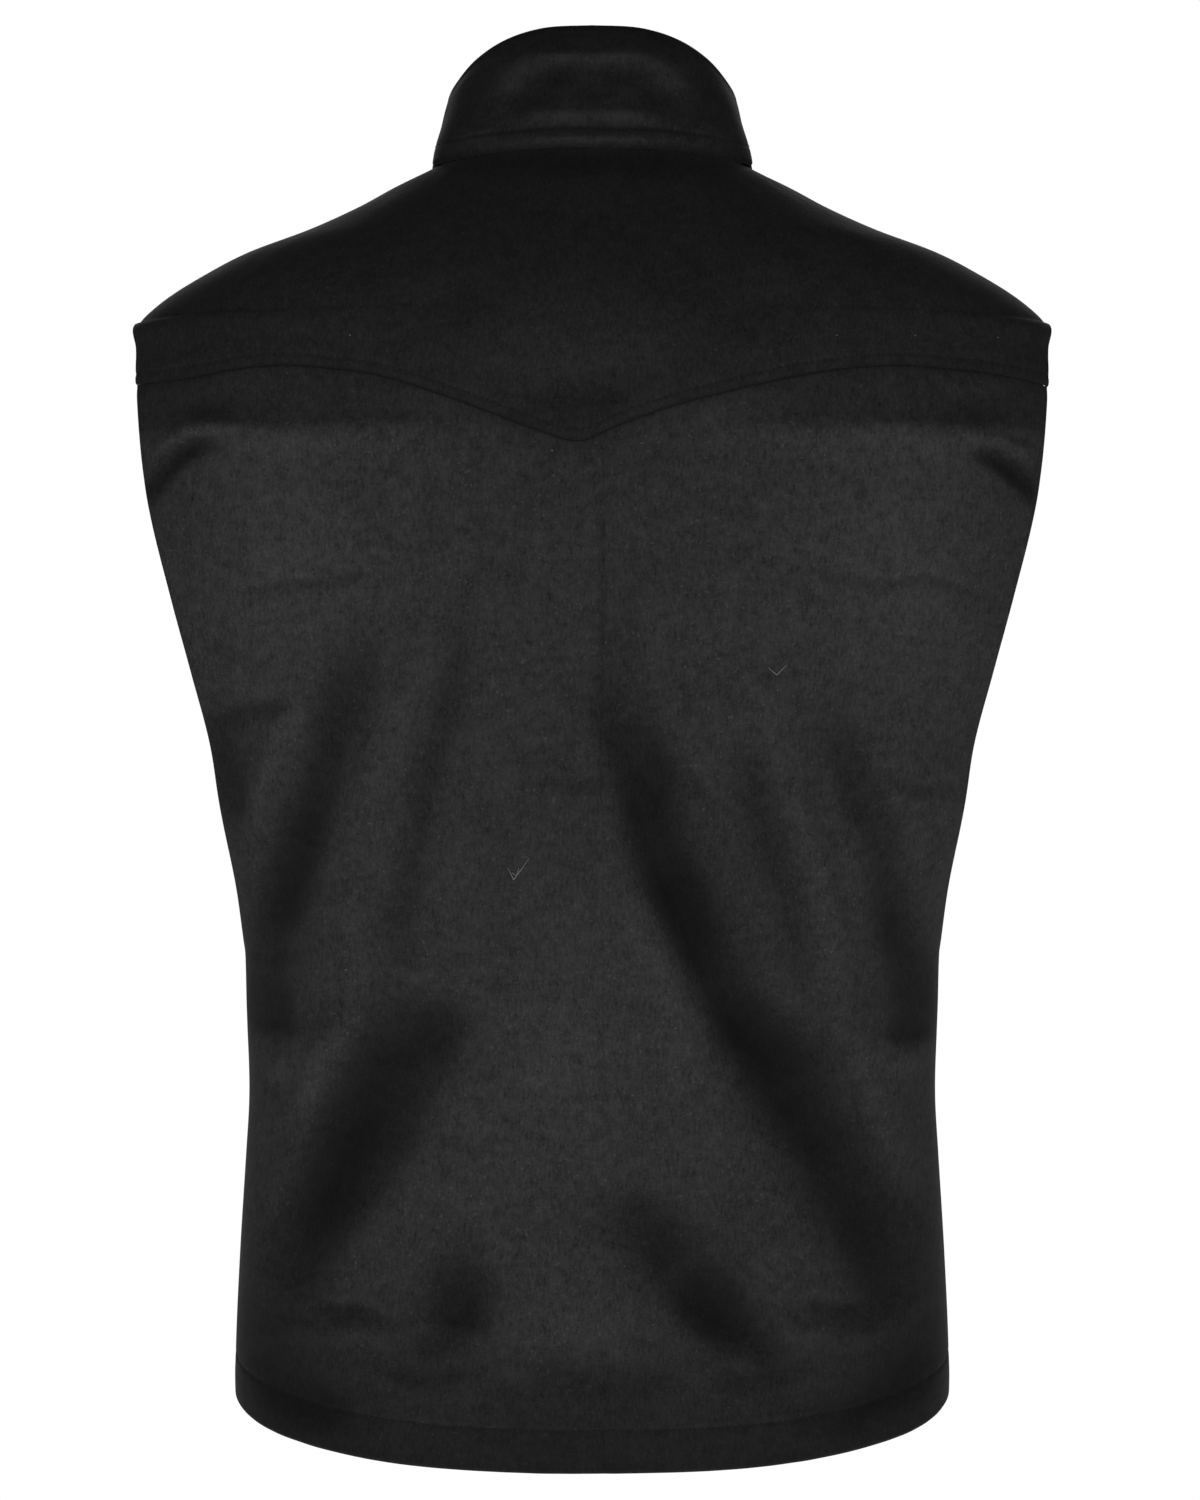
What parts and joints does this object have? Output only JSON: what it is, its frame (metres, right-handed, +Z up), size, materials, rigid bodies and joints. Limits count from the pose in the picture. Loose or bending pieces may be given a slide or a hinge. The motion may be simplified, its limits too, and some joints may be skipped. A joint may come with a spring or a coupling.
{
  "type": "western vest",
  "caption": "Black wool western vest, filled out with no wearer: pointed back yoke, centre back seam, turned-down collar, deep open armholes and a buttoned front.",
  "frame": {"origin": "on the centre plane at the neck opening, level with the side points of the neck where the vest rests on the shoulders", "axes": "+Z up, -Y the way the vest's front faces, +X towards the wearer's left"},
  "size_m": [0.47, 0.2485, 0.721],
  "materials": {
    "black_wool": "matte",
    "button_plastic": "satin"
  },
  "bodies": {
    "root": {"back_left": "black_wool", "back_right": "black_wool", "back_yoke": "black_wool", "front_left": "black_wool", "front_right": "black_wool", "collar": "black_wool", "button_1": "button_plastic", "button_2": "button_plastic", "button_3": "button_plastic", "button_4": "button_plastic", "button_5": "button_plastic"}
  },
  "joints": []
}
